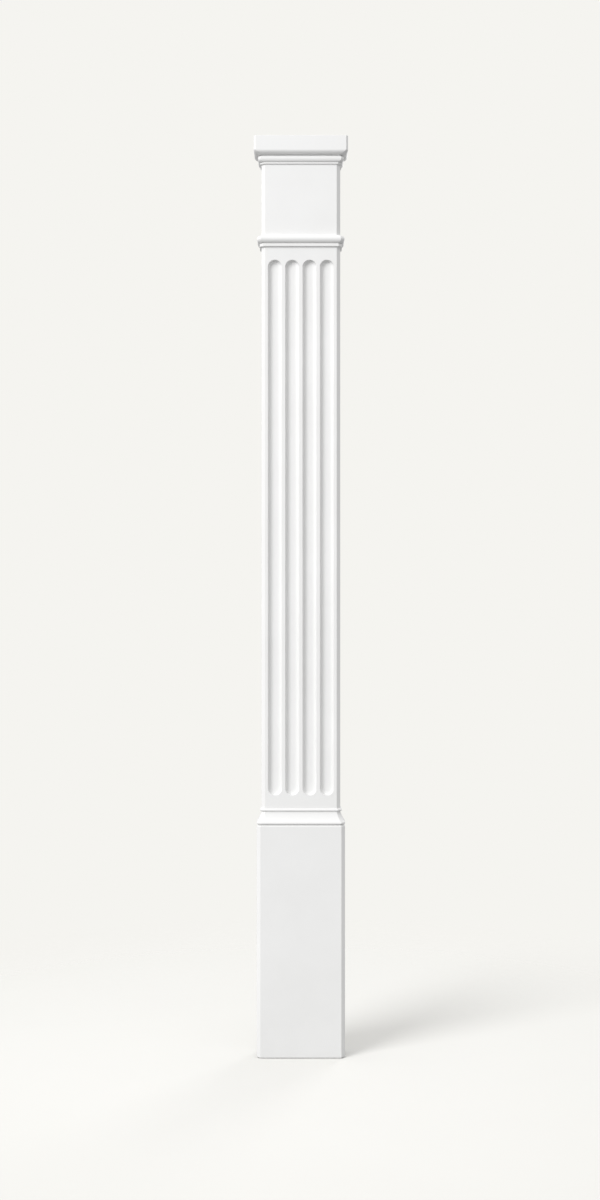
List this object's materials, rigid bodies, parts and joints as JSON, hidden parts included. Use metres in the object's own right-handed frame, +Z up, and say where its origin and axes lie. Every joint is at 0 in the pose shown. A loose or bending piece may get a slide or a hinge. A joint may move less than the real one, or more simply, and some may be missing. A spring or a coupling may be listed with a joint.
{
  "type": "fluted wall pilaster",
  "caption": "Moulded wall pilaster with a tall plain plinth, a round-ended fluted shaft, a torus necking, a plain frieze and a moulded cap, with a flat back for fixing to a wall.",
  "frame": {"origin": "where the middle of the flat back meets the floor", "axes": "+Z up the pilaster, +Y into the wall, so the fluted front faces -Y; X runs across the width"},
  "size_m": [0.2334, 0.0752, 2.286],
  "materials": {
    "white_primer": "smooth white factory primer on dense urethane foam, matte to low satin"
  },
  "bodies": {
    "root": {"pilaster": "white_primer"}
  },
  "joints": []
}
